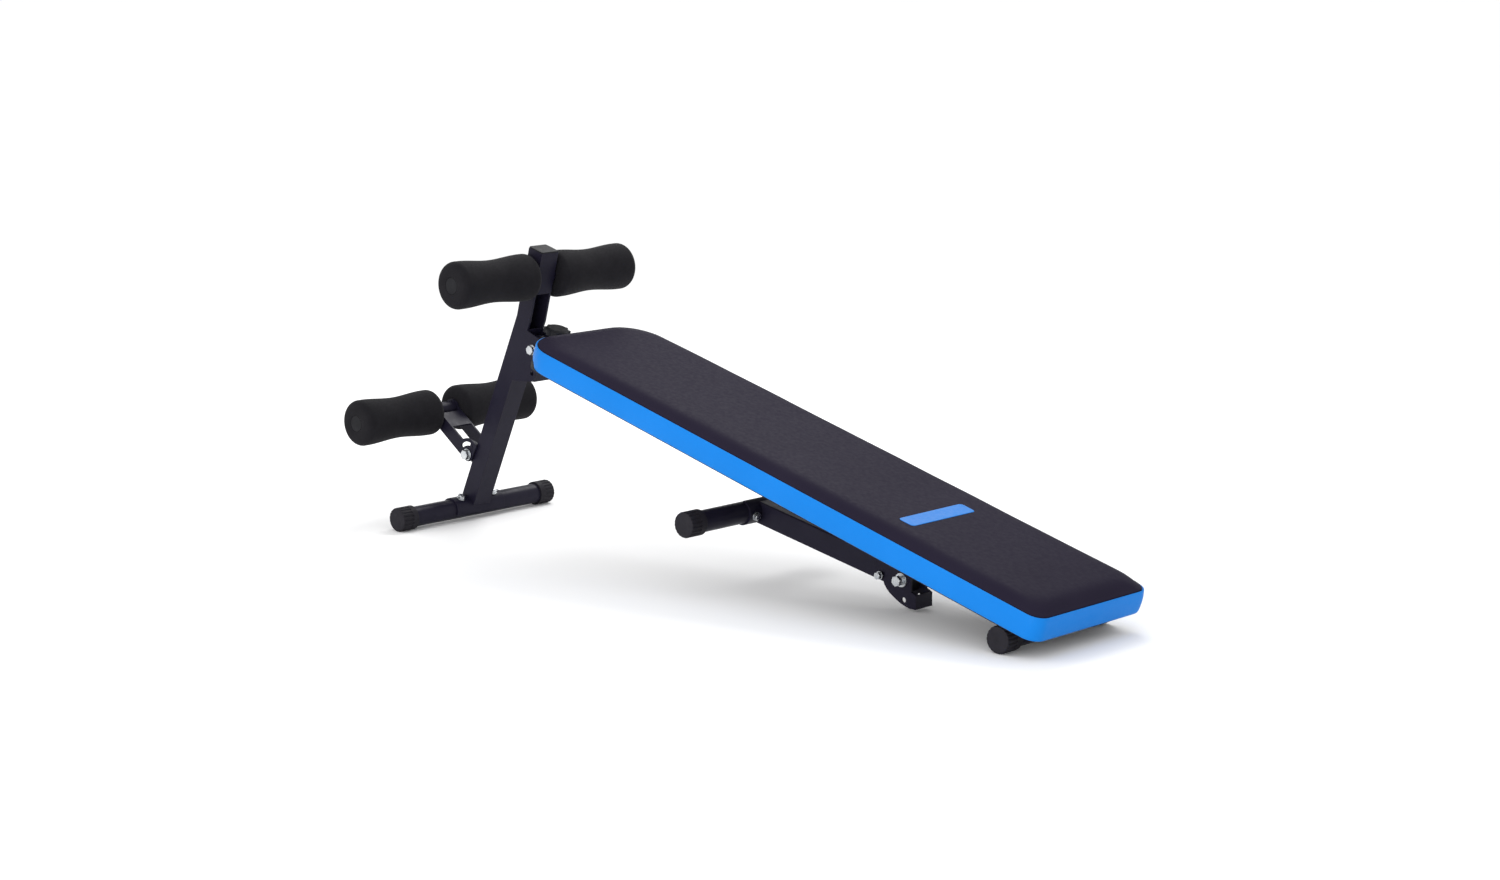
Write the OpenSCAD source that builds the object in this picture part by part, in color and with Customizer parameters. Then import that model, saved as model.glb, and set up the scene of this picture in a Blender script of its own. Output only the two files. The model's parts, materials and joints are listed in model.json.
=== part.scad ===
// Decline sit up bench: round cross feet, leaning front post with two pairs of foam
// rollers, box beam carrying a long padded board, and a fold-down rear support leg.
// +X runs from the foot end to the head end, Y is across, +Z is up, floor at Z = 0.

/* [Stance] */
// Slope of the pad and main beam below level, degrees
decline = 15.2; // [5:0.1:25]
// Height of the pad's top seam line above the front foot, mm
seam_z = 394.2; // [300:0.1:500]
// Outside diameter of the cross foot tubes, mm
foot_d = 32; // [25:1:50]
// Outside radius of the ribbed rubber foot caps, mm
cap_r = 19; // [14:0.5:30]
// Length of each foot cap, mm
cap_len = 30; // [15:1:50]
// Half length of the front foot over its caps, mm
front_foot_half = 161; // [120:1:250]
// Half length of the rear foot over its caps, mm
rear_foot_half = 118; // [80:1:250]
// Half length of the folding leg's foot over its caps, mm
leg_foot_half = 159; // [120:1:250]

/* [Front post] */
// Lean of the lower post from upright, degrees
post_lean = 24.24; // [0:0.01:40]
// Lean of the post above its bend from upright, degrees
upper_lean = 15.5; // [0:0.1:40]
// Post width across the bench, mm
post_w = 35; // [25:1:60]
// Post depth along the bench, mm
post_d = 30; // [20:1:60]
// Distance from foot axis to the bend in the post, mm
bend_r = 348.5; // [200:0.5:450]
// Length of the post above its bend, with its end cap, mm
upper_len = 115; // [80:1:200]
// Wall of the post tube, mm
post_t = 1.8; // [1:0.1:4]

/* [Foam rollers] */
// Largest radius of a foam roller, mm
foam_r = 36.5; // [25:0.5:60]
// Radius at the waist of a foam roller, mm
waist_r = 32.6; // [20:0.5:60]
// Distance from the middle to a roller's inner end, mm
foam_in = 22.6; // [20:0.1:40]
// Distance from the middle to a roller's outer end, mm
foam_out = 180; // [120:1:250]
// Outside radius of the roller axle tubes, mm
axle_r = 12.5; // [8:0.5:16]
// Height of the upper axle above the bend along the post, mm
top_axle_r = 70.5; // [40:0.5:150]

/* [Lower roller fork] */
// Fork pivot position ahead of and above the front foot axis, mm
fork_x = 12; // [0:0.5:60]
// Fork pivot height above the floor, mm
fork_z = 106.5; // [60:0.5:200]
// Distance from the fork pivot to the lower axle, mm
fork_len = 103; // [60:1:160]
// Rise of the fork above level, degrees
fork_rise = 35.5; // [0:0.5:80]
// Width of the fork's side bars, mm
bar_w = 23; // [12:1:40]
// Radius of the round head on each side bar, about the pivot, mm
head_r = 26; // [20:0.5:35]
// Radius of the curved stop slot's middle line, about the pivot, mm
slot_r = 17.4; // [14:0.1:22]
// Turn of the fork's stop pin from the post's direction, degrees
stop_turn = 8.8; // [0:0.1:20]
// Free travel of the fork's stop pin along its slot, degrees
slot_travel = 77; // [40:1:90]

/* [Beam and pad] */
// Main beam height, mm
beam_h = 35; // [20:1:60]
// Main beam width, mm
beam_w = 30; // [20:1:60]
// Beam centre line below the pad's seam plane, mm
beam_n = 57.5; // [40:0.5:90]
// Where the pad starts along the slope, mm
pad_s0 = 260; // [240:1:320]
// Where the pad ends along the slope, mm
pad_s1 = 1279; // [900:1:1500]
// Pad width, mm
pad_w = 246; // [200:1:350]
// Radius of the pad's corners seen from above, mm
pad_corner = 42; // [10:1:80]
// Height of the pad's side band, mm
band_h = 35; // [20:1:60]
// Height of the pad's crown above the side band, mm
crown_h = 10; // [4:1:25]

/* [Rear leg] */
// Rear pivot position along the slope, mm
leg_s = 973.9; // [700:0.1:1100]
// Rear pivot below the pad's seam plane, mm
leg_n = 98.7; // [80:0.1:130]
// Distance from the rear pivot to the leg's foot axis, mm
leg_len = 291.8; // [150:0.1:400]
// Rise of the folded leg above level, degrees
leg_rise = 11.45; // [0:0.05:40]
// Leg tube height, mm
leg_h = 33; // [20:1:60]
// Leg tube width, mm
leg_w = 28; // [20:1:60]

/* [Hidden] */
$fn = 48;
low_end = fork_x - fork_len * cos(fork_rise) - foam_r;
high_end = pad_s1 * cos(decline);
xc = (low_end + high_end) / 2;
foot_r = foot_d / 2;
foot_z = cap_r;
piv_s = 185;
wall = 1.5;
pin_r = 4;
lock_s = 213;
stop_pin_r = 3;
slot_half = 3.3;
slot_a1 = 90 - fork_rise + post_lean + stop_turn + 1;
slot_a0 = slot_a1 - slot_travel;
fork_px = fork_x * cos(post_lean) - (fork_z - foot_z) * sin(post_lean);
ear_x = -post_d / 2 - fork_px - 0.05;
window_half = 14.2;
band_t = 2;
board_inset = 5;
board_n = 38;
rear_s = (seam_z - beam_n * cos(decline) - foot_z) / sin(decline);
beam_s0 = piv_s - 13;
beam_s1 = rear_s - foot_r - 2.5;
piv_x = piv_s * cos(decline) - beam_n * sin(decline);
piv_z = seam_z - piv_s * sin(decline) - beam_n * cos(decline);
leg_x = leg_s * cos(decline) - leg_n * sin(decline);
leg_z = seam_z - leg_s * sin(decline) - leg_n * cos(decline);

// ---------- frames ----------

module world() {
    translate([-xc, 0, 0])
        children();
}

// z runs up the leaning post from the front foot's axis
module on_post() {
    world()
        translate([0, 0, foot_z])
            rotate([0, post_lean, 0])
                children();
}

// z runs up the post above its bend, from the bend
module on_post_top() {
    on_post()
        translate([0, 0, bend_r])
            rotate([0, upper_lean - post_lean, 0])
                children();
}

// x runs down the slope, z is square to the pad
module on_beam(s = 0, n = 0) {
    world()
        translate([0, 0, seam_z])
            rotate([0, decline, 0])
                translate([s, 0, -n])
                    children();
}

// z runs from the fork pivot to the lower axle, x is square to it and up
module on_fork() {
    world()
        translate([fork_x, 0, fork_z])
            rotate([0, fork_rise - 90, 0])
                children();
}

// z runs from the rear pivot to the leg's foot, x is square to it and up
module on_leg() {
    world()
        translate([leg_x, 0, leg_z])
            rotate([0, leg_rise - 90, 0])
                children();
}

// ---------- shared shapes ----------

module round_box(wx, wy, len, r) {
    translate([r - wx / 2, -wy / 2, 0])
        cube([wx - 2 * r, wy, len]);
    translate([-wx / 2, r - wy / 2, 0])
        cube([wx, wy - 2 * r, len]);
    for (sx = [-1, 1], sy = [-1, 1])
        translate([sx * (wx / 2 - r), sy * (wy / 2 - r), 0])
            cylinder(r = r, h = len);
}

module box_tube(wx, wy, len, t, r = 2.5) {
    difference() {
        round_box(wx, wy, len, r);
        translate([t - wx / 2, t - wy / 2, -1])
            cube([wx - 2 * t, wy - 2 * t, len + 2]);
    }
}

// cylinder lying across the bench between two y values
module across(r, y0, y1, fn = 48) {
    translate([0, y0, 0])
        rotate([-90, 0, 0])
            cylinder(r = r, h = y1 - y0, $fn = fn);
}

module hex_across(r, y0, y1) {
    translate([0, y0, 0])
        rotate([-90, 0, 0])
            cylinder(r = r, h = y1 - y0, $fn = 6);
}

// flat plate in the X-Z plane covering y0 to y0 + t
module plate(points, y0, t) {
    translate([0, y0 + t, 0])
        rotate([90, 0, 0])
            linear_extrude(t)
                polygon(points);
}

module foot_pipe(half) {
    difference() {
        across(foot_r, -half + 4.2, half - 4.2);
        across(foot_r - wall, -half, half);
    }
}

// rubber cap on the tube's -y end, with grooves between its ribs
module foot_cap(half) {
    difference() {
        translate([0, -half, 0])
            rotate([-90, 0, 0])
                rotate_extrude()
                    polygon([[0, 0], [cap_r - 2.5, 0], [cap_r - 0.7, 0.7], [cap_r, 2.5],
                        [cap_r, cap_len], [foot_r + 0.05, cap_len], [foot_r + 0.05, 4], [0, 4]]);
        for (a = [0 : 18 : 359])
            rotate([0, a + 9, 0])
                translate([cap_r + 0.7, 0, 0])
                    across(2, -half - 1, -half + 20, 24);
    }
}

module foot_caps(half) {
    foot_cap(half);
    mirror([0, 1, 0])
        foot_cap(half);
}

// half-round plate that hugs a foot tube; z points from the foot's axis into its post
module saddle(half) {
    difference() {
        across(foot_r + 2.6, -half, half);
        across(foot_r + 0.05, -half - 1, half + 1);
        translate([-40, -half - 1, -40])
            cube([80, 2 * half + 2, 40]);
    }
}

// hex bolt whose head stands on a saddle and whose thread ends inside the foot tube
module saddle_bolt(y) {
    translate([0, y, foot_r + 2.65]) {
        cylinder(r = 6.6, h = 1.3);
        translate([0, 0, 1.3])
            cylinder(r = 6.4, h = 4, $fn = 6);
        translate([0, 0, 5.3])
            cylinder(r1 = 5.2, r2 = 4.4, h = 0.8);
    }
    translate([0, y, foot_r - 8])
        cylinder(r = 3.9, h = 10.7);
}

module saddle_with_holes(half, y) {
    difference() {
        saddle(half);
        for (s = [-1, 1])
            translate([0, s * y, 0])
                cylinder(r = 4, h = 40);
    }
}

module foot_pipe_drilled(half, y) {
    difference() {
        foot_pipe(half);
        for (s = [-1, 1])
            translate([0, s * y, 0])
                cylinder(r = 4, h = 40);
    }
}

module foam(r_big, r_waist, len) {
    rotate([-90, 0, 0])
        rotate_extrude()
            polygon([[axle_r + 0.05, 0], [r_big - 9, 0], [r_big - 4.5, 1.6], [r_big - 1.6, 5],
                [r_big - 0.2, 10], [r_big, 17], [r_big - 1.2, 32], [r_waist + 1, len * 0.34],
                [r_waist, len * 0.45], [r_waist, len * 0.55], [r_waist + 1, len * 0.66],
                [r_big - 1.2, len - 32], [r_big, len - 17], [r_big - 0.2, len - 10],
                [r_big - 1.6, len - 5], [r_big - 4.5, len - 1.6], [r_big - 9, len],
                [axle_r + 0.05, len]]);
}

module foam_pair(side) {
    len = foam_out - foam_in;
    mirror([0, side < 0 ? 1 : 0, 0])
        translate([0, foam_in, 0])
            foam(foam_r, waist_r, len);
}

module axle_pipe() {
    difference() {
        across(axle_r, -foam_out + 3, foam_out - 3);
        across(axle_r - 1.5, -foam_out, foam_out);
    }
}

module axle_plug() {
    across(axle_r, -foam_out + 0.4, -foam_out + 3);
    difference() {
        across(axle_r - 1.55, -foam_out + 3, -foam_out + 18);
        across(axle_r - 3.5, -foam_out + 4, -foam_out + 19);
    }
}

module axle_plugs() {
    axle_plug();
    mirror([0, 1, 0])
        axle_plug();
}

// ---------- front post ----------

module front_foot_tube() {
    color([0.09, 0.09, 0.1])
        on_post()
            foot_pipe_drilled(front_foot_half, 34);
}

module front_foot_caps() {
    color([0.05, 0.05, 0.05])
        on_post()
            foot_caps(front_foot_half);
}

module front_saddle() {
    color([0.09, 0.09, 0.1])
        on_post()
            saddle_with_holes(50, 34);
}

module front_saddle_bolts() {
    color([0.75, 0.76, 0.78])
        on_post() {
            saddle_bolt(-34);
            saddle_bolt(34);
        }
}

// solid bar with the post's bend, its outside with grow = 0, its inside with grow = -post_t
module bent_bar(grow) {
    half = post_d / 2 + grow;
    turn = post_lean - upper_lean;
    lift = half * tan(turn / 2);
    high = upper_len - 2 - grow;
    end_x = -high * sin(turn);
    end_z = bend_r + high * cos(turn);
    on_post()
        plate([
            [half, grow], [-half, grow], [-half, bend_r - lift],
            [end_x - half * cos(turn), end_z - half * sin(turn)],
            [end_x + half * cos(turn), end_z + half * sin(turn)],
            [half, bend_r + lift]
        ], -post_w / 2 - grow, post_w + 2 * grow);
}

// one bent box tube; its face towards the pad is cut open around the bend
module post_tube() {
    color([0.09, 0.09, 0.1])
        difference() {
            bent_bar(0);
            bent_bar(-post_t);
            on_post()
                across(foot_r + 2.65, -40, 40);
            on_post()
                translate([5, -window_half, bend_r - 11.5])
                    cube([20, 2 * window_half, 30]);
            on_post_top()
                translate([5, -window_half, 0])
                    cube([20, 2 * window_half, 45]);
            at_top_axle()
                across(axle_r + 0.02, -40, 40);
        }
}

// moulded plug in the top end of the post
module post_cap() {
    inset = post_t + 0.05;
    color([0.06, 0.06, 0.065])
        on_post_top()
            difference() {
                union() {
                    translate([0, 0, upper_len - 1.97])
                        round_box(post_d, post_w, 1.97, 2.5);
                    translate([0, 0, upper_len - 14])
                        round_box(post_d - 2 * inset, post_w - 2 * inset, 13, 1.6);
                }
                translate([0, 0, upper_len - 15])
                    round_box(post_d - 2 * inset - 4, post_w - 2 * inset - 4, 13, 0.5);
            }
}

// side plates in post coordinates: [x from post centre line, z up the post]
module front_bracket() {
    pts = [[15.05, 246], [58.8, 268.8], [58.8, 332.5], [51.7, 338], [15.05, 336]];
    color([0.09, 0.09, 0.1])
        on_post()
            difference() {
                union() {
                    plate(pts, 15.5, 2);
                    plate(pts, -17.5, 2);
                    translate([56.6, -15.6, 268.2])
                        cube([2.2, 31.2, 16.8]);
                }
                translate([piv_px(), 0, piv_pz()])
                    across(pin_r + 0.03, -30, 30);
                translate([51, 0, 279.2])
                    across(3.5, -17.6, 17.6);
            }
}

function piv_px() = piv_x * cos(post_lean) - (piv_z - foot_z) * sin(post_lean);
function piv_pz() = piv_x * sin(post_lean) + (piv_z - foot_z) * cos(post_lean);

module front_pivot_bolt() {
    color([0.78, 0.79, 0.8])
        on_beam(piv_s, beam_n) {
            across(pin_r, -19.4, 25);
            hex_across(7.5, -24.6, -19.4);
            across(6.2, -25.2, -24.6);
        }
}

module front_pivot_nut() {
    color([0.78, 0.79, 0.8])
        on_beam(piv_s, beam_n)
            difference() {
                union() {
                    hex_across(7.5, 19.4, 25);
                    across(6.2, 25, 27.5);
                }
                across(pin_r + 0.03, 10, 26);
            }
}

module front_pivot_washers() {
    color([0.78, 0.79, 0.8])
        on_beam(piv_s, beam_n)
            difference() {
                union() {
                    across(8, 17.55, 19.35);
                    across(8, -19.35, -17.55);
                }
                across(pin_r + 0.03, -30, 30);
            }
}

module front_pivot_sleeve() {
    color([0.7, 0.7, 0.72])
        on_beam(piv_s, beam_n)
            difference() {
                across(8, -15.2, 15.2);
                across(pin_r + 0.04, -20, 20);
            }
}

// tab welded over the beam that carries the lock's barrel
module lock_tab() {
    color([0.09, 0.09, 0.1])
        on_beam(0, 40)
            difference() {
                translate([piv_s + 5.5, -15.4, 0.3])
                    cube([41.5, 30.8, 3]);
                translate([lock_s, 0, -1])
                    cylinder(r = 8.05, h = 10);
            }
}

module lock_barrel() {
    color([0.78, 0.79, 0.8])
        on_beam(lock_s, 40)
            difference() {
                union() {
                    translate([0, 0, 0.3])
                        cylinder(r = 8, h = 14);
                    translate([0, 0, 3.35])
                        cylinder(r = 11.5, h = 6, $fn = 6);
                }
                translate([0, 0, -1])
                    cylinder(r = 6, h = 13.3);
                cylinder(r = 4.05, h = 30);
            }
}

module lock_pin() {
    color([0.78, 0.79, 0.8])
        on_beam(lock_s, 40) {
            translate([0, 0, 0.4])
                cylinder(r = 4, h = 26);
            translate([0, 0, 0.4])
                cylinder(r1 = 5.0, r2 = 5.6, h = 1.6);
            translate([0, 0, -1.1])
                cylinder(r1 = 2.6, r2 = 4, h = 1.5);
        }
}

module lock_spring() {
    color([0.7, 0.7, 0.72])
        on_beam(lock_s, 40)
            for (i = [0 : 4])
                translate([0, 0, 2.5 + i])
                    rotate_extrude()
                        translate([5.0, 0])
                            circle(r = 0.45, $fn = 16);
}

module lock_knob() {
    color([0.06, 0.06, 0.065])
        on_beam(lock_s, 40)
            difference() {
                union() {
                    translate([0, 0, 15])
                        cylinder(r = 9.5, h = 3);
                    translate([0, 0, 17.5])
                        cylinder(r1 = 17, r2 = 18.5, h = 3);
                    translate([0, 0, 20.5])
                        cylinder(r = 18.5, h = 5);
                    translate([0, 0, 25.5])
                        cylinder(r1 = 18.5, r2 = 15, h = 2.5);
                    for (a = [0 : 45 : 359])
                        rotate([0, 0, a])
                            translate([16, 0, 18.2])
                                cylinder(r = 5, h = 7.6);
                }
                cylinder(r = 4.02, h = 26.45);
            }
}

// ---------- upper rollers ----------

module at_top_axle() {
    on_post_top()
        translate([0, 0, top_axle_r])
            children();
}

module top_axle() {
    color([0.09, 0.09, 0.1])
        at_top_axle()
            axle_pipe();
}

module top_axle_plugs() {
    color([0.06, 0.06, 0.065])
        at_top_axle()
            axle_plugs();
}

module foam_upper_left() {
    color([0.1, 0.1, 0.1])
        at_top_axle()
            foam_pair(-1);
}

module foam_upper_right() {
    color([0.1, 0.1, 0.1])
        at_top_axle()
            foam_pair(1);
}

// ---------- lower roller fork ----------

// z runs up the post from the fork pivot
module at_fork_pivot() {
    world()
        translate([fork_x, 0, fork_z])
            rotate([0, post_lean, 0])
                children();
}

// centre of the fork's stop pin, seen from the fork pivot
module at_stop_pin() {
    rotate([0, stop_turn, 0])
        translate([0, 0, slot_r])
            children();
}

// one ear: a chamfered plate in front of the post's face at x = ear_x
module ear(y) {
    plate([[ear_x, -9.3], [-4, -9.3], [-9.3, -4], [-9.3, 4], [-4.8, 12.6],
        [-4.8, 20], [-0.8, 24.2], [ear_x, 24.2]], y, 3);
}

module fork_ears() {
    color([0.09, 0.09, 0.1])
        at_fork_pivot()
            difference() {
                for (y = [-17.5, 14.5])
                    ear(y);
                across(pin_r + 0.03, -30, 30);
                at_stop_pin()
                    across(stop_pin_r + 0.03, -30, 30);
            }
}

module fork_stop_pin() {
    color([0.09, 0.09, 0.1])
        at_fork_pivot()
            at_stop_pin()
                across(stop_pin_r, -22.4, 22.4);
}

// curved slot around the pivot in which the stop pin runs
module fork_slot() {
    intersection() {
        difference() {
            across(slot_r + slot_half, -30, 30);
            across(slot_r - slot_half, -31, 31);
        }
        plate([[0, 0], [60 * sin(slot_a0), 60 * cos(slot_a0)], [60, 60],
            [60 * sin(slot_a1), 60 * cos(slot_a1)]], -30, 60);
    }
    for (a = [slot_a0, slot_a1])
        rotate([0, a, 0])
            translate([0, 0, slot_r])
                across(slot_half - 0.08, -30, 30);
}

module fork_bar(y) {
    plate([[-bar_w / 2, 0], [bar_w / 2, 0], [bar_w / 2, fork_len - 14],
        [15.5, fork_len - 2], [-15.5, fork_len - 2], [-bar_w / 2, fork_len - 14]], y, 3);
    across(bar_w / 2, y, y + 3);
    translate([0, 0, fork_len])
        across(15.6, y, y + 3);
    intersection() {
        across(head_r, y, y + 3);
        plate([[0, 0], [20.5, 56.4], [81.6, 38], [60, -4.2], [3, -10.9]], y, 3);
    }
}

module roller_fork() {
    color([0.09, 0.09, 0.1])
        on_fork()
            difference() {
                union() {
                    fork_bar(19);
                    fork_bar(-22);
                    translate([bar_w / 2 - 3, -19.5, 54])
                        cube([3, 39, 32]);
                }
                fork_slot();
                across(pin_r + 0.04, -30, 30);
                translate([0, 0, fork_len])
                    across(axle_r + 0.02, -30, 30);
            }
}

module at_lower_axle() {
    on_fork()
        translate([0, 0, fork_len])
            children();
}

module lower_axle() {
    color([0.09, 0.09, 0.1])
        at_lower_axle()
            axle_pipe();
}

module lower_axle_plugs() {
    color([0.06, 0.06, 0.065])
        at_lower_axle()
            axle_plugs();
}

module foam_lower_left() {
    color([0.1, 0.1, 0.1])
        at_lower_axle()
            foam_pair(-1);
}

module foam_lower_right() {
    color([0.1, 0.1, 0.1])
        at_lower_axle()
            foam_pair(1);
}

module fork_bolt() {
    color([0.78, 0.79, 0.8])
        on_fork() {
            across(pin_r, -24.3, 31);
            hex_across(8.2, -30.2, -24.3);
            across(6.8, -30.8, -30.2);
        }
}

module fork_nut() {
    color([0.78, 0.79, 0.8])
        on_fork()
            difference() {
                union() {
                    hex_across(8.2, 24.3, 31);
                    across(6.8, 31, 33.5);
                }
                across(pin_r + 0.03, 10, 32);
            }
}

module fork_washers() {
    color([0.78, 0.79, 0.8])
        on_fork()
            difference() {
                union() {
                    across(9.4, 22.45, 24.25);
                    across(9.4, -24.25, -22.45);
                    across(9, 17.55, 18.7);
                    across(9, -18.7, -17.55);
                }
                across(pin_r + 0.03, -30, 30);
            }
}

// ---------- beam and pad ----------

module main_beam() {
    color([0.09, 0.09, 0.1])
        on_beam(0, beam_n)
            difference() {
                translate([beam_s0, 0, 0])
                    rotate([0, 90, 0])
                        box_tube(beam_h, beam_w, rear_s - beam_s0, wall, 2.5);
                translate([rear_s, 0, 0])
                    across(foot_r + 2.65, -40, 40);
                translate([rear_s, -40, -40])
                    cube([40, 80, 80]);
                translate([piv_s, 0, 0])
                    across(8.02, -30, 30);
                translate([lock_s, 0, 0])
                    cylinder(r = 5.8, h = 40);
            }
}

module beam_plug() {
    color([0.05, 0.05, 0.05])
        on_beam(0, beam_n)
            difference() {
                translate([beam_s0 - 0.6, 0, 0])
                    rotate([0, 90, 0])
                        translate([1.6 - beam_h / 2, 1.6 - beam_w / 2, 0.7])
                            cube([beam_h - 3.2, beam_w - 3.2, 8]);
                translate([piv_s, 0, 0])
                    across(8.1, -30, 30);
                translate([beam_s0 + 2, 3.5 - beam_w / 2, 3.5 - beam_h / 2])
                    cube([20, beam_w - 7, beam_h - 7]);
            }
}

mount_s = [330, 770, 1140];

// flat cross plates welded on the beam, each with two screw holes
module pad_mounts() {
    color([0.09, 0.09, 0.1])
        on_beam(0, 40)
            for (s = mount_s)
                difference() {
                    translate([s - 20, -85, 0])
                        cube([40, 170, 2]);
                    for (y = [-70, 70])
                        translate([s, y, -1])
                            cylinder(r = 3.1, h = 5);
                }
}

module pad_screws() {
    color([0.75, 0.76, 0.78])
        on_beam(0, 40)
            for (s = mount_s, y = [-70, 70])
                translate([s, y, 0]) {
                    translate([0, 0, 1])
                        cylinder(r = 3, h = 10.5);
                    translate([0, 0, -1.2])
                        cylinder(r = 6.5, h = 1.15);
                    translate([0, 0, -5])
                        cylinder(r = 5.6, h = 3.8, $fn = 6);
                    translate([0, 0, -1.3])
                        cylinder(r = 3, h = 3);
                }
}

// rounded slab lying along the slope
module slab(s0, s1, w, r, n0, n1) {
    translate([s0 + r, -w / 2, n0])
        cube([s1 - s0 - 2 * r, w, n1 - n0]);
    translate([s0, r - w / 2, n0])
        cube([s1 - s0, w - 2 * r, n1 - n0]);
    for (s = [s0 + r, s1 - r], y = [r - w / 2, w / 2 - r])
        translate([s, y, n0])
            cylinder(r = r, h = n1 - n0);
}

module pad_board() {
    color([0.12, 0.11, 0.1])
        on_beam()
            difference() {
                pad_slab(board_inset, -board_n + 0.05, -26);
                for (s = mount_s, y = [-70, 70])
                    translate([s, y, -50])
                        cylinder(r = 3.05, h = 21.6);
            }
}

// slab of the pad's outline, moved inwards
module pad_slab(inset, n0, n1) {
    slab(pad_s0 + inset, pad_s1 - inset, pad_w - 2 * inset, pad_corner - inset, n0, n1);
}

// blue cover round the pad's sides
module pad_band() {
    color([0.1, 0.5, 0.95])
        on_beam()
            difference() {
                pad_slab(0, -band_h, 0);
                pad_slab(band_t, -band_h - 1, 1);
            }
}

module pad_cushion() {
    color([0.05, 0.06, 0.07])
        on_beam()
            difference() {
                union() {
                    pad_slab(band_t + 0.05, -band_h, 0.05);
                    pad_slab(1.6, 0.05, 4);
                    pad_slab(5, 3, 7.4);
                    pad_slab(11, 7, crown_h);
                }
                pad_slab(board_inset - 0.1, -50, -25.95);
            }
}

// ---------- rear bracket and rear foot ----------

// outline around the leg pivot, level axes, [along, up]
module bracket_side(y) {
    pts = [[-52, 13.4], [-30, 5.8], [-33.4, -5], [-31.5, -11],
        [-27.5, -16.2], [-22.4, -21.2], [-13, -27.5], [-4, -32.5], [5.6, -36.4], [14, -38.6],
        [26, -38.8], [26, -19], [17, -14.5], [17, 48], [-52, 66.4]];
    difference() {
        plate(pts, y, 3);
        across(pin_r + 0.03, -30, 30);
        translate([4, 0, -28])
            across(4, -30, 30);
    }
}

module rear_bracket() {
    color([0.09, 0.09, 0.1])
        world()
            translate([leg_x, 0, leg_z])
                union() {
                    bracket_side(15.05);
                    bracket_side(-18.05);
                    translate([23, -15.2, -38.8])
                        cube([3, 30.4, 20]);
                }
}

module rear_foot_frame() {
    on_beam(rear_s, beam_n)
        rotate([0, -90, 0])
            children();
}

module rear_foot_tube() {
    color([0.09, 0.09, 0.1])
        rear_foot_frame()
            foot_pipe_drilled(rear_foot_half, 30);
}

module rear_foot_caps() {
    color([0.05, 0.05, 0.05])
        rear_foot_frame()
            foot_caps(rear_foot_half);
}

module rear_saddle() {
    color([0.09, 0.09, 0.1])
        rear_foot_frame()
            saddle_with_holes(44, 30);
}

module rear_saddle_bolts() {
    color([0.75, 0.76, 0.78])
        rear_foot_frame() {
            saddle_bolt(-30);
            saddle_bolt(30);
        }
}

module rear_pivot_bolt() {
    color([0.78, 0.79, 0.8])
        on_leg() {
            across(pin_r, -20.2, 29);
            across(6.4, -25.5, -20.2);
            hex_across(7.9, -30.8, -25.5);
            across(6.6, -31.5, -30.8);
        }
}

module rear_pivot_nut() {
    color([0.78, 0.79, 0.8])
        on_leg()
            difference() {
                union() {
                    hex_across(7.9, 20.2, 27);
                    across(6.4, 27, 30);
                }
                across(pin_r + 0.03, 10, 29.2);
            }
}

module rear_pivot_washers() {
    color([0.78, 0.79, 0.8])
        on_leg()
            difference() {
                union() {
                    across(10, 18.1, 20.15);
                    across(10, -20.15, -18.1);
                }
                across(pin_r + 0.03, -30, 30);
            }
}

// ---------- folding leg ----------

// the cross bolt that stops the leg against the bracket's sides
module at_leg_stop() {
    on_leg()
        translate([-7.4, 0, 38.8])
            children();
}

module leg_tube() {
    color([0.09, 0.09, 0.1])
        difference() {
            on_leg()
                difference() {
                    translate([0, 0, -9])
                        box_tube(leg_h, leg_w, leg_len + 9, wall, 2.5);
                    translate([0, 0, leg_len])
                        across(foot_r + 2.65, -40, 40);
                    translate([-40, -40, leg_len])
                        cube([80, 80, 40]);
                    across(8.02, -30, 30);
                }
            at_leg_stop()
                across(3.03, -30, 30);
        }
}

module leg_plug() {
    color([0.05, 0.05, 0.05])
        on_leg()
            difference() {
                translate([1.6 - leg_h / 2, 1.6 - leg_w / 2, -8.9])
                    cube([leg_h - 3.2, leg_w - 3.2, 14]);
                across(8.1, -30, 30);
                translate([3.5 - leg_h / 2, 3.5 - leg_w / 2, -6.5])
                    cube([leg_h - 7, leg_w - 7, 20]);
            }
}

module leg_sleeve() {
    color([0.7, 0.7, 0.72])
        on_leg()
            difference() {
                across(8, -14, 14);
                across(pin_r + 0.04, -20, 20);
            }
}

module leg_spacers() {
    color([0.85, 0.85, 0.82])
        on_leg()
            difference() {
                union() {
                    across(9, 14.02, 14.72);
                    across(9, -14.72, -14.02);
                }
                across(pin_r + 0.04, -30, 30);
            }
}

module leg_foot_frame() {
    on_leg()
        translate([0, 0, leg_len])
            rotate([0, 180, 0])
                children();
}

module leg_saddle() {
    color([0.09, 0.09, 0.1])
        leg_foot_frame()
            saddle_with_holes(39, 28);
}

module leg_saddle_bolts() {
    color([0.75, 0.76, 0.78])
        leg_foot_frame() {
            saddle_bolt(-28);
            saddle_bolt(28);
        }
}

module leg_foot_tube() {
    color([0.09, 0.09, 0.1])
        leg_foot_frame()
            foot_pipe_drilled(leg_foot_half, 28);
}

module leg_foot_caps() {
    color([0.05, 0.05, 0.05])
        leg_foot_frame()
            foot_caps(leg_foot_half);
}

module leg_stop_bolt() {
    color([0.78, 0.79, 0.8])
        at_leg_stop() {
            across(3, -19.8, 24);
            across(6, -19.8, -18.4);
            hex_across(5.6, -25, -19.8);
            across(4.6, -25.5, -25);
        }
}

module leg_stop_nut() {
    color([0.78, 0.79, 0.8])
        at_leg_stop()
            difference() {
                union() {
                    across(6, 18.4, 19.8);
                    hex_across(5.6, 19.8, 25);
                }
                across(3.03, 10, 30);
            }
}

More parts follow.
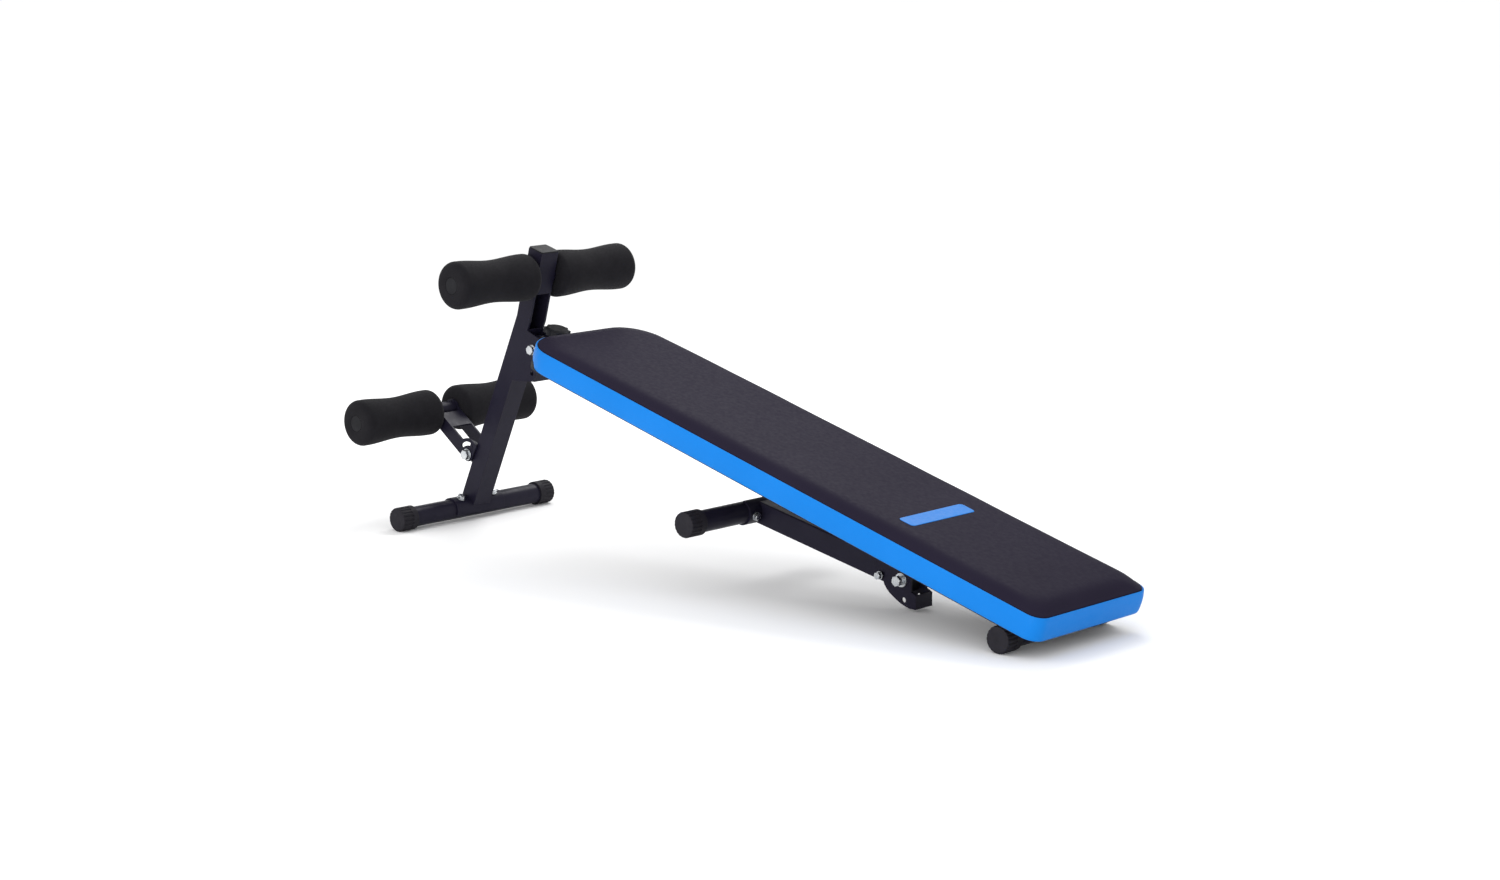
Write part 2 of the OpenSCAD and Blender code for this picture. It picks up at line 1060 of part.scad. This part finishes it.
front_foot_tube();
front_foot_caps();
front_saddle();
front_saddle_bolts();
post_tube();
post_cap();
front_bracket();
lock_tab();
lock_barrel();
lock_knob();
lock_pin();
lock_spring();
fork_ears();
fork_stop_pin();
top_axle();
top_axle_plugs();
foam_upper_left();
foam_upper_right();
foam_lower_left();
foam_lower_right();
roller_fork();
lower_axle();
lower_axle_plugs();
fork_bolt();
fork_nut();
fork_washers();
front_pivot_bolt();
front_pivot_nut();
front_pivot_washers();
front_pivot_sleeve();
main_beam();
beam_plug();
pad_mounts();
pad_board();
pad_cushion();
pad_band();
pad_screws();
rear_bracket();
rear_foot_tube();
rear_foot_caps();
rear_saddle();
rear_saddle_bolts();
rear_pivot_bolt();
rear_pivot_nut();
rear_pivot_washers();
leg_tube();
leg_plug();
leg_sleeve();
leg_spacers();
leg_saddle();
leg_saddle_bolts();
leg_foot_tube();
leg_foot_caps();
leg_stop_bolt();
leg_stop_nut();
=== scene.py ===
"""Decline sit up bench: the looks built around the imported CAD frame, in metres."""

import json
import math

import bpy
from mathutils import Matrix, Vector


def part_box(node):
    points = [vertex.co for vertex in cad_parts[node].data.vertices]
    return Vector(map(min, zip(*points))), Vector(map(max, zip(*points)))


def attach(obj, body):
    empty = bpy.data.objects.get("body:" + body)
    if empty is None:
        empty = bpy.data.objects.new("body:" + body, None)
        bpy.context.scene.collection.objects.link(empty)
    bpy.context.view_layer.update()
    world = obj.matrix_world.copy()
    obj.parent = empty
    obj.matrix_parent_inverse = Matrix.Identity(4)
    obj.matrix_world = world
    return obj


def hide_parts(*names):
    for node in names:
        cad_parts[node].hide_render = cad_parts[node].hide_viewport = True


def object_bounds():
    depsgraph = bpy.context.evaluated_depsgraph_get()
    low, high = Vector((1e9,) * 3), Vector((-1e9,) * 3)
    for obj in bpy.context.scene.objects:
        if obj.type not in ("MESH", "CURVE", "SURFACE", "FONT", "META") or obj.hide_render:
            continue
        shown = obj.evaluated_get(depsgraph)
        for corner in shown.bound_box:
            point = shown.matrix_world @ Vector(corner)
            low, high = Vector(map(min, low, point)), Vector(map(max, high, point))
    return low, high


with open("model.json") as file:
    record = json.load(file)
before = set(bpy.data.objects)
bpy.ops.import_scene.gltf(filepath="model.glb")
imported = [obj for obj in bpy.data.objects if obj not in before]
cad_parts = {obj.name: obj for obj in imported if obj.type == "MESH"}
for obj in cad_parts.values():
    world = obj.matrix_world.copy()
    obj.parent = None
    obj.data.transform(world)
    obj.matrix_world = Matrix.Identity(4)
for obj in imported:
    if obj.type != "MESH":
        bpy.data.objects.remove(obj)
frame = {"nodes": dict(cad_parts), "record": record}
NODES = frame["nodes"]
RECORD = frame["record"]
CAD_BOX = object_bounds()
MM = 0.001


# ---------- camera, light and floor ----------

def make_camera():
    """Looks from the head end's near side, a little above the pad."""
    azimuth, elevation = math.radians(43.02), math.radians(10.33)
    distance = 4.1576
    low, high = CAD_BOX
    target = Vector((0.0459, (low.y + high.y) / 2, 0.2011))
    back = Vector((math.sin(azimuth) * math.cos(elevation),
                   -math.cos(azimuth) * math.cos(elevation),
                   math.sin(elevation)))
    data = bpy.data.cameras.new("camera")
    data.sensor_width = 36.0
    data.lens = 68.46
    data.clip_end = 50.0
    camera = bpy.data.objects.new("camera", data)
    bpy.context.scene.collection.objects.link(camera)
    camera.location = target + back * distance
    camera.rotation_mode = "QUATERNION"
    camera.rotation_quaternion = (-back).to_track_quat("-Z", "Y")
    bpy.context.scene.camera = camera


def area_light(name, at, aim, size, power):
    data = bpy.data.lights.new(name, "AREA")
    data.shape = "RECTANGLE"
    data.size, data.size_y = size
    data.energy = power
    light = bpy.data.objects.new(name, data)
    light.location = at
    light.rotation_euler = (Vector(aim) - Vector(at)).to_track_quat("-Z", "Y").to_euler()
    bpy.context.scene.collection.objects.link(light)


def make_studio():
    scene = bpy.context.scene
    scene.view_settings.view_transform = "Standard"
    scene.view_settings.look = "None"
    world = bpy.data.worlds.new("studio")
    world.use_nodes = True
    background = world.node_tree.nodes["Background"]
    background.inputs["Color"].default_value = (1.0, 1.0, 1.0, 1.0)
    background.inputs["Strength"].default_value = 1.06
    scene.world = world
    centre = (0.0, 0.0, 0.2)
    area_light("key", (-1.3, -2.6, 2.4), centre, (2.2, 1.6), 10.0)
    area_light("low_fill", (0.9, -2.9, 0.45), centre, (2.0, 0.8), 32.0)
    area_light("overhead", (-0.7, 1.35, 1.8), (-0.4, 0.0, 0.3), (1.2, 0.9), 21.0)
    bpy.ops.mesh.primitive_plane_add(size=60.0, location=(0.0, 0.0, CAD_BOX[0].z - 0.0002))
    floor = bpy.context.object
    floor.name = "floor"
    floor.data.materials.append(plain_floor())


# ---------- material helpers ----------

NOISE_LOW, NOISE_HIGH = 0.3, 0.7   # the stretch of a noise's values that colours and roughness span


class Mat:
    """A Principled material with short calls for the nodes that all of them use."""

    def __init__(self, name, colour, roughness, metallic=0.0):
        self.material = bpy.data.materials.new(name)
        self.material.use_nodes = True
        self.tree = self.material.node_tree
        self.shader = self.tree.nodes["Principled BSDF"]
        self.shader.inputs["Base Color"].default_value = (*colour, 1.0)
        self.shader.inputs["Roughness"].default_value = roughness
        self.shader.inputs["Metallic"].default_value = metallic
        self.place = self.node("ShaderNodeTexCoord").outputs["Object"]
        self.normal = None

    def node(self, kind):
        return self.tree.nodes.new(kind)

    def link(self, a, b):
        self.tree.links.new(a, b)

    def noise(self, scale, detail=3.0, rough=0.5, stretch=None):
        made = self.node("ShaderNodeTexNoise")
        made.inputs["Scale"].default_value = scale
        made.inputs["Detail"].default_value = detail
        made.inputs["Roughness"].default_value = rough
        self.link(self.stretched(stretch), made.inputs["Vector"])
        return made.outputs["Fac"]

    def cells(self, scale, feature="F1", smooth=0.0, stretch=None):
        made = self.node("ShaderNodeTexVoronoi")
        made.feature = feature
        made.inputs["Scale"].default_value = scale
        if feature == "SMOOTH_F1":
            made.inputs["Smoothness"].default_value = smooth
        self.link(self.stretched(stretch), made.inputs["Vector"])
        return made.outputs["Distance"]

    def stretched(self, stretch):
        if stretch is None:
            return self.place
        mapping = self.node("ShaderNodeMapping")
        mapping.inputs["Scale"].default_value = stretch
        self.link(self.place, mapping.inputs["Vector"])
        return mapping.outputs["Vector"]

    def span(self, value, low, high):
        made = self.node("ShaderNodeMapRange")
        made.inputs["From Min"].default_value = NOISE_LOW
        made.inputs["From Max"].default_value = NOISE_HIGH
        made.inputs["To Min"].default_value = low
        made.inputs["To Max"].default_value = high
        self.link(value, made.inputs["Value"])
        return made.outputs["Result"]

    def colour_between(self, value, one, two):
        mix = self.node("ShaderNodeMix")
        mix.data_type = "RGBA"
        mix.inputs["A"].default_value = (*one, 1.0)
        mix.inputs["B"].default_value = (*two, 1.0)
        self.link(self.span(value, 0.0, 1.0), mix.inputs["Factor"])
        self.link(mix.outputs["Result"], self.shader.inputs["Base Color"])

    def roughness_between(self, value, low, high):
        self.link(self.span(value, low, high), self.shader.inputs["Roughness"])

    def bump(self, value, strength, distance):
        made = self.node("ShaderNodeBump")
        made.inputs["Strength"].default_value = strength
        made.inputs["Distance"].default_value = distance
        self.link(value, made.inputs["Height"])
        if self.normal is not None:
            self.link(self.normal, made.inputs["Normal"])
        self.normal = made.outputs["Normal"]
        self.link(self.normal, self.shader.inputs["Normal"])

    def soft_edges(self, radius):
        made = self.node("ShaderNodeBevel")
        made.samples = 4
        made.inputs["Radius"].default_value = radius
        self.normal = made.outputs["Normal"]
        self.link(self.normal, self.shader.inputs["Normal"])

    def specular(self, level):
        self.shader.inputs["Specular IOR Level"].default_value = level

    def sheen(self, weight, roughness):
        self.shader.inputs["Sheen Weight"].default_value = weight
        self.shader.inputs["Sheen Roughness"].default_value = roughness


def plain_floor():
    mat = Mat("floor_paper", (0.95, 0.95, 0.95), 0.9)
    mat.colour_between(mat.noise(1.5), (0.945, 0.945, 0.947), (0.955, 0.955, 0.957))
    mat.specular(0.0)
    return mat.material


def powder_coat():
    """Satin black powder coat with a fine orange peel."""
    mat = Mat("black_powder_coat", (0.012, 0.0115, 0.019), 0.35)
    mat.colour_between(mat.noise(35.0), (0.0100, 0.0088, 0.0185), (0.0125, 0.0112, 0.0220))
    mat.roughness_between(mat.noise(90.0), 0.30, 0.42)
    mat.specular(0.10)
    mat.soft_edges(0.0005)
    mat.bump(mat.noise(750.0, 2.0), 0.22, 0.00025)
    return mat.material


def bright_zinc():
    """Clear zinc plate on steel, with a faint cloudiness and drawn lines."""
    mat = Mat("bright_zinc", (0.55, 0.58, 0.60), 0.25, 1.0)
    mat.colour_between(mat.noise(120.0), (0.50, 0.52, 0.55), (0.64, 0.66, 0.67))
    mat.roughness_between(mat.noise(400.0), 0.2, 0.36)
    mat.soft_edges(0.0004)
    mat.bump(mat.noise(1600.0, 2.0, stretch=(1.0, 0.15, 1.0)), 0.12, 0.0001)
    return mat.material


def cap_rubber():
    mat = Mat("cap_rubber", (0.010, 0.010, 0.012), 0.6)
    mat.colour_between(mat.noise(60.0), (0.0110, 0.0100, 0.0140), (0.0145, 0.0132, 0.0180))
    mat.specular(0.15)
    mat.roughness_between(mat.noise(200.0), 0.5, 0.68)
    mat.soft_edges(0.0006)
    mat.bump(mat.noise(1300.0, 3.0), 0.3, 0.0002)
    return mat.material


def moulded_plastic():
    mat = Mat("moulded_plastic", (0.012, 0.012, 0.014), 0.42)
    mat.colour_between(mat.noise(50.0), (0.0100, 0.0100, 0.0120), (0.0150, 0.0150, 0.0175))
    mat.specular(0.08)
    mat.roughness_between(mat.noise(150.0), 0.36, 0.5)
    mat.soft_edges(0.0006)
    mat.bump(mat.cells(1500.0), 0.15, 0.00012)
    return mat.material


def white_nylon():
    mat = Mat("white_nylon", (0.75, 0.75, 0.7), 0.5)
    mat.colour_between(mat.noise(80.0), (0.70, 0.70, 0.65), (0.80, 0.80, 0.76))
    mat.bump(mat.noise(900.0), 0.15, 0.0001)
    return mat.material


def foam_rubber():
    """Closed cell foam: fine pores under a dull skin."""
    mat = Mat("foam_rubber", (0.010, 0.010, 0.0105), 0.85)
    mat.colour_between(mat.noise(45.0, 5.0, 0.6), (0.0090, 0.0086, 0.0105), (0.0122, 0.0116, 0.0140))
    mat.specular(0.06)
    mat.roughness_between(mat.noise(250.0), 0.78, 0.92)
    mat.bump(mat.noise(28.0, 2.0), 0.25, 0.0012)
    mat.bump(mat.cells(1150.0), 0.4, 0.00035)
    mat.bump(mat.noise(2600.0, 2.0), 0.2, 0.00015)
    mat.sheen(0.03, 0.5)
    return mat.material


def vinyl(name, dark, light, roughness, level, grain):
    """Embossed upholstery vinyl: small pebbled cells with creases between them."""
    mat = Mat(name, dark, roughness)
    mat.specular(level)
    mat.colour_between(mat.noise(9.0, 2.0), dark, light)
    mat.roughness_between(mat.noise(160.0), roughness - 0.05, roughness + 0.07)
    mat.bump(mat.noise(14.0, 2.0), 0.06 * grain, 0.002)
    mat.bump(mat.cells(820.0, "SMOOTH_F1", 0.6, (1.0, 0.8, 1.0)), 0.34 * grain, 0.00028)
    mat.bump(mat.noise(2400.0, 2.0), 0.12, 0.0001)
    return mat.material


def black_board():
    """Plywood under stapled black cloth."""
    mat = Mat("black_board_cloth", (0.01, 0.01, 0.011), 0.9)
    mat.colour_between(mat.noise(500.0, 4.0, 0.7), (0.0075, 0.0075, 0.0085), (0.0160, 0.0160, 0.0170))
    mat.bump(mat.noise(900.0, 4.0, 0.7, (1.0, 2.5, 1.0)), 0.5, 0.0003)
    return mat.material


# ---------- mesh helpers ----------

def mesh_piece(name, points, faces, material, body):
    mesh = bpy.data.meshes.new(name)
    mesh.from_pydata([tuple(p) for p in points], [], faces)
    mesh.validate()
    mesh.update()
    mesh.polygons.foreach_set("use_smooth", [True] * len(mesh.polygons))
    mesh.materials.append(material)
    piece = bpy.data.objects.new(name, mesh)
    bpy.context.scene.collection.objects.link(piece)
    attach(piece, body)
    return piece


def ring_faces(rings, count):
    """Quads between neighbouring closed rings of the same number of points."""
    faces = []
    for j in range(rings - 1):
        for i in range(count):
            k = (i + 1) % count
            faces.append((j * count + i, j * count + k, (j + 1) * count + k, (j + 1) * count + i))
    return faces


TURN = 112   # points round a lathed piece


def lathe(origin, axis, profile):
    """Points and faces of a profile of (distance along, radius) turned about an axis."""
    axis = Vector(axis).normalized()
    side = axis.orthogonal().normalized()
    up = axis.cross(side)
    points = []
    for along, radius in profile:
        for i in range(TURN):
            turn = 2 * math.pi * i / TURN
            points.append(Vector(origin) + axis * along
                          + (side * math.cos(turn) + up * math.sin(turn)) * radius)
    return points, ring_faces(len(profile), TURN)


# ---------- pad ----------

PAD_MOUNT = next(m for m in RECORD["mounts"] if m["name"] == "pad_top")
PAD_N = Vector(PAD_MOUNT["axis"]).normalized()   # square to the pad, upwards
PAD_S = Vector((PAD_N.z, 0.0, -PAD_N.x))         # along the pad, towards its low end
PAD_ORIGIN = Vector(PAD_MOUNT["pos_m"])
CROWN = 10.0 * MM       # how far the mount lies over the seam plane
HIGH_CORNER = 58.0 * MM
LOW_CORNER = 20.0 * MM
ARC = 14                # points in each corner's arc
SEAM = 2.3              # the seam's inset, in millimetres like the five lengths below it
CROWN_RISE = 11.8       # how far the cover rises over the seam at the middle
CROWN_TILT = 1.3        # how much more it rises towards the low end
SHOULDER = 12.0         # how far in the shoulder reaches
END_REACH = 65.0        # how far the high end's dip reaches
SOFT_REACH = 30.0       # how far in the foam's slow waves reach their full height
END_DIP = 0.55          # share of the rise lost at the high end
PITCH = 7.0 * MM        # from one gather of the seam to the next
PATCH_S = (0.2205, 0.2478)   # the patch's edges along the pad, from its middle
PATCH_Y = (-0.080, 0.056)    # and across it


def pad_extent():
    """Centre and half length along the slope, and half width, read from the CAD side band."""
    vertices = [v.co for v in NODES["pad_band"].data.vertices]
    along = [(v - PAD_ORIGIN).dot(PAD_S) for v in vertices]
    wide = max(v.y for v in vertices)
    return (min(along) + max(along)) / 2, (max(along) - min(along)) / 2, wide


PAD_MID, PAD_HALF, PAD_WIDE = pad_extent()


def pad_point(s, y, n):
    """A point from the pad's own axes: along the slope, across, and above the seam plane."""
    return PAD_ORIGIN + PAD_S * (PAD_MID + s) + Vector((0, y, 0)) + PAD_N * (n - CROWN)


def side_counts():
    """How many steps an outline takes along its long and its short straight sides."""
    step = 4.0 * MM
    return 2 * int((PAD_HALF - LOW_CORNER) / step), 2 * int((PAD_WIDE - LOW_CORNER) / step)


def outline(inset):
    """A closed rounded rectangle, moved inwards, always with the same number of points.

    Inwards its low corners get rounder, its high ones a little tighter.
    """
    long_count, short_count = side_counts()
    a, b = PAD_HALF - inset, PAD_WIDE - inset
    low = min(LOW_CORNER + 0.5 * inset, 0.98 * b)
    high = min(HIGH_CORNER - 0.1 * inset, 0.98 * b)
    points = []
    corners = [(a - low, b - low, low), (high - a, b - high, high),
               (high - a, high - b, high), (a - low, low - b, low)]
    for quarter, (cx, cy, r) in enumerate(corners):
        for i in range(ARC):
            turn = math.pi / 2 * (quarter + i / ARC)
            points.append((cx + r * math.cos(turn), cy + r * math.sin(turn)))
        turn = math.pi / 2 * (quarter + 1)
        start = (cx + r * math.cos(turn), cy + r * math.sin(turn))
        nx, ny, nr = corners[(quarter + 1) % 4]
        end = (nx + nr * math.cos(turn), ny + nr * math.sin(turn))
        count = long_count if quarter in (0, 2) else short_count
        for i in range(count):
            t = i / count
            points.append((start[0] + (end[0] - start[0]) * t, start[1] + (end[1] - start[1]) * t))
    return points


def lid(first, count):
    """Faces across one outline, joining each point to the one opposite it across the pad."""
    long_count, short_count = side_counts()
    start = count - short_count // 2
    faces = []
    for k in range(2 * ARC + long_count + short_count):
        i, j = (start + k) % count, (start + k + 1) % count
        over_i, over_j = (count - short_count - i) % count, (count - short_count - j) % count
        face = []
        for point in (i, j, over_j, over_i):
            if first + point not in face:
                face.append(first + point)
        faces.append(tuple(face))
    return faces


def softness(s, y):
    """Slow rise and fall of foam under a stretched cover, in millimetres."""
    waves = [(31.0, 9.0, 0.4), (17.0, -23.0, 1.9), (47.0, 21.0, 2.7), (8.0, 37.0, 4.1)]
    return 0.16 * sum(math.sin(along * s + across * y + phase) for along, across, phase in waves)


def crown(inset, s, y):
    """Height of the cover over the seam plane in millimetres; it rises slower at the high end."""
    if inset <= SEAM:
        return 0.0
    from_end = (PAD_HALF + s) / MM
    full = CROWN_RISE + CROWN_TILT * s / PAD_HALF
    rise = full * (1 - math.exp(-((inset - SEAM) / SHOULDER) ** 1.5))
    dip = END_DIP * math.exp(-from_end / END_REACH)
    return rise * (1 - dip) + softness(s, y) * min(1.0, inset / SOFT_REACH)


def pucker(run):
    """Small gathers that the stitches pull in along the seam."""
    return math.sin(2 * math.pi * run / PITCH) + 0.5 * math.sin(2 * math.pi * run / (PITCH * 2.7) + 1.0)


def runs(points):
    """How far round the outline each of its points lies."""
    total, found = 0.0, []
    for i, p in enumerate(points):
        q = points[(i + 1) % len(points)]
        found.append(total)
        total += math.hypot(q[0] - p[0], q[1] - p[1])
    return found


def loft(rings):
    """Points of stacked outlines; each ring is (inset, height, pucker depth, does the crown lift it)."""
    base = runs(outline(0.0))
    points = []
    for inset, height, depth, crowned in rings:
        for (s, y), run in zip(outline(inset * MM), base):
            lift = depth * pucker(run) + (crown(inset, s, y) if crowned else 0.0)
            points.append(pad_point(s, y, (height + lift) * MM))
    return points, ring_faces(len(rings), len(base))


def pad_top(material):
    """Black cover: a closed form, up out of the seam and over a soft shoulder to a low crown."""
    rings = [(7.0, -34.5, 0.0, False), (3.6, -34.0, 0.0, False), (3.0, -25.0, 0.0, False),
             (3.0, -9.0, 0.0, False), (3.1, -3.6, 0.0, False), (2.7, -2.2, 0.0, False),
             (SEAM, -1.0, 0.05, False), (2.5, -0.3, 0.08, True), (3.4, 0.3, 0.08, True),
             (5.2, 0.2, 0.07, True), (7.6, 0.0, 0.05, True), (10.6, 0.0, 0.03, True)]
    inset, step, half_width = 14.0, 4.0, PAD_WIDE / MM
    while inset < half_width - 1.5 * step:
        rings.append((inset, 0.0, 0.0, True))
        inset += step
    rings.append((half_width - step / 2, 0.0, 0.0, True))
    points, faces = loft(rings)
    count = len(points) // len(rings)
    faces += lid(len(points) - count, count)
    faces += [tuple(reversed(face)) for face in lid(0, count)]
    piece = mesh_piece("pad_top_cover", points, faces, material, "frame")
    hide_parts("pad_cushion")


def pad_band(material):
    """Blue side band: a closed strip from the board's edge, out over the foam's side, to the seam."""
    rings = [(4.7, -34.9), (4.4, -35.4), (3.0, -35.8), (1.7, -35.3), (0.8, -34.0), (0.3, -31.5),
             (-0.2, -27.0), (-0.6, -20.0), (-0.6, -13.0), (-0.3, -8.0), (0.0, -5.0), (0.1, -3.2),
             (0.4, -1.8), (1.0, -1.1), (1.7, -1.4), (2.1, -2.4), (2.4, -4.0), (2.5, -12.0),
             (2.5, -32.0), (3.2, -34.8)]
    gathers = {10: 0.05, 11: 0.07, 12: 0.07, 13: 0.06, 14: 0.04}   # depths at the rings by the seam
    points, faces = loft([(inset, height, gathers.get(i, 0.0), False)
                          for i, (inset, height) in enumerate(rings)])
    count = len(points) // len(rings)
    last = len(points) - count
    faces += [(last + i, last + (i + 1) % count, (i + 1) % count, i) for i in range(count)]
    piece = mesh_piece("pad_side_band", points, faces, material, "frame")
    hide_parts("pad_band")


def pad_patch(material):
    """A plain sewn-on patch near the low end, with nothing written on it."""
    (s0, s1), (y0, y1), r = PATCH_S, PATCH_Y, 6.0 * MM
    centres = [(s1 - r, y1 - r), (s0 + r, y1 - r), (s0 + r, y0 + r), (s1 - r, y0 + r)]
    steps = 8
    ring = []
    for quarter, (cs, cy) in enumerate(centres):
        for i in range(steps + 1):
            turn = math.pi / 2 * (quarter + i / steps)
            ring.append((cs + r * math.cos(turn), cy + r * math.sin(turn)))
    middle = ((s0 + s1) / 2, (y0 + y1) / 2)
    layers = [(1.0, -0.6), (1.0, 0.25), (0.985, 0.45), (0.9, 0.5), (0.6, 0.5), (0.3, 0.5)]
    points = []
    for shrink, lift in layers:
        for s, y in ring:
            ps = middle[0] + (s - middle[0]) * shrink
            py = middle[1] + (y - middle[1]) * shrink
            inset = min(PAD_WIDE - abs(py), PAD_HALF - abs(ps)) / MM
            points.append(pad_point(ps, py, (crown(inset, ps, py) + lift) * MM))
    count = len(ring)
    last = (len(layers) - 1) * count
    faces = ring_faces(len(layers), count)
    faces.append(tuple(range(last, last + count)))
    faces.append(tuple(reversed(range(count))))
    mesh_piece("pad_patch", points, faces, material, "frame")


# ---------- foam rollers ----------

WAIST = 3.9 * MM   # how much less the middle's radius is


def roller_profile(length, big, waist, bore):
    """Lathe profile from the bore at one end to the bore at the other."""
    edge = 11.0 * MM
    points = [(1.6 * MM, bore), (0.5 * MM, bore + 0.6 * MM), (0.0, bore + 1.8 * MM)]
    for i in range(5):
        t = i / 5
        dish = -0.3 * MM * math.sin(math.pi * t)
        points.append((dish, bore + 2 * MM + (big - edge - bore - 2 * MM) * t))
    steps = 12
    for i in range(steps + 1):
        turn = math.pi / 2 * i / steps
        points.append((edge * (1 - math.cos(turn)), big - edge + edge * math.sin(turn)))
    peak = 15.0 * MM
    middle = length / 2
    for i in range(1, 25):
        x = peak + (middle - peak) * i / 24
        t = (middle - x) / (middle - peak)
        points.append((x, waist + (big - waist) * (0.5 - 0.5 * math.cos(math.pi * t))))
    return points + [(length - x, r) for x, r in reversed(points[:-1])]


def foam_roller(node, body, material):
    low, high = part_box(node)
    centre = (low + high) / 2
    length = high.y - low.y
    big = (high.z - low.z) / 2
    waist = big - WAIST
    axle_low, axle_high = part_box("top_axle")
    bore = (axle_high.x - axle_low.x) / 2 + 0.05 * MM
    origin = (centre.x, low.y, centre.z)
    points, faces = lathe(origin, (0, 1, 0), roller_profile(length, big, waist, bore))
    last = len(points) - TURN
    faces += [(i, (i + 1) % TURN, last + (i + 1) % TURN, last + i) for i in range(TURN)]
    piece = mesh_piece(node + "_sleeve", points, faces, material, body)
    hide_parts(node)


# ---------- build ----------

def paint_cad_nodes():
    """Gives each CAD node the material of its slot, and returns the materials by slot."""
    made = {"black_paint": powder_coat(), "zinc": bright_zinc(), "cap_rubber": cap_rubber(),
            "black_plastic": moulded_plastic(), "nylon": white_nylon(), "board": black_board(),
            "foam": foam_rubber(),
            "pad_vinyl": vinyl("black_vinyl", (0.0160, 0.0132, 0.0255), (0.0178, 0.0148, 0.0280),
                               0.48, 0.014, 0.45),
            "band_vinyl": vinyl("blue_vinyl", (0.004, 0.172, 0.575), (0.006, 0.183, 0.605),
                                0.40, 0.09, 0.5)}
    for part in RECORD["subparts"]:
        node, material = NODES[part["node"]], made[part["material_slot"]]
        if not node.material_slots:
            node.data.materials.append(material)
        for slot in node.material_slots:
            slot.material = material
    return made


def main():
    make_camera()
    make_studio()
    made = paint_cad_nodes()
    pad_top(made["pad_vinyl"])
    pad_band(made["band_vinyl"])
    pad_patch(made["band_vinyl"])
    for side in ("left", "right"):
        foam_roller("foam_upper_" + side, "upper_" + side + "_roller", made["foam"])
        foam_roller("foam_lower_" + side, "lower_" + side + "_roller", made["foam"])


main()
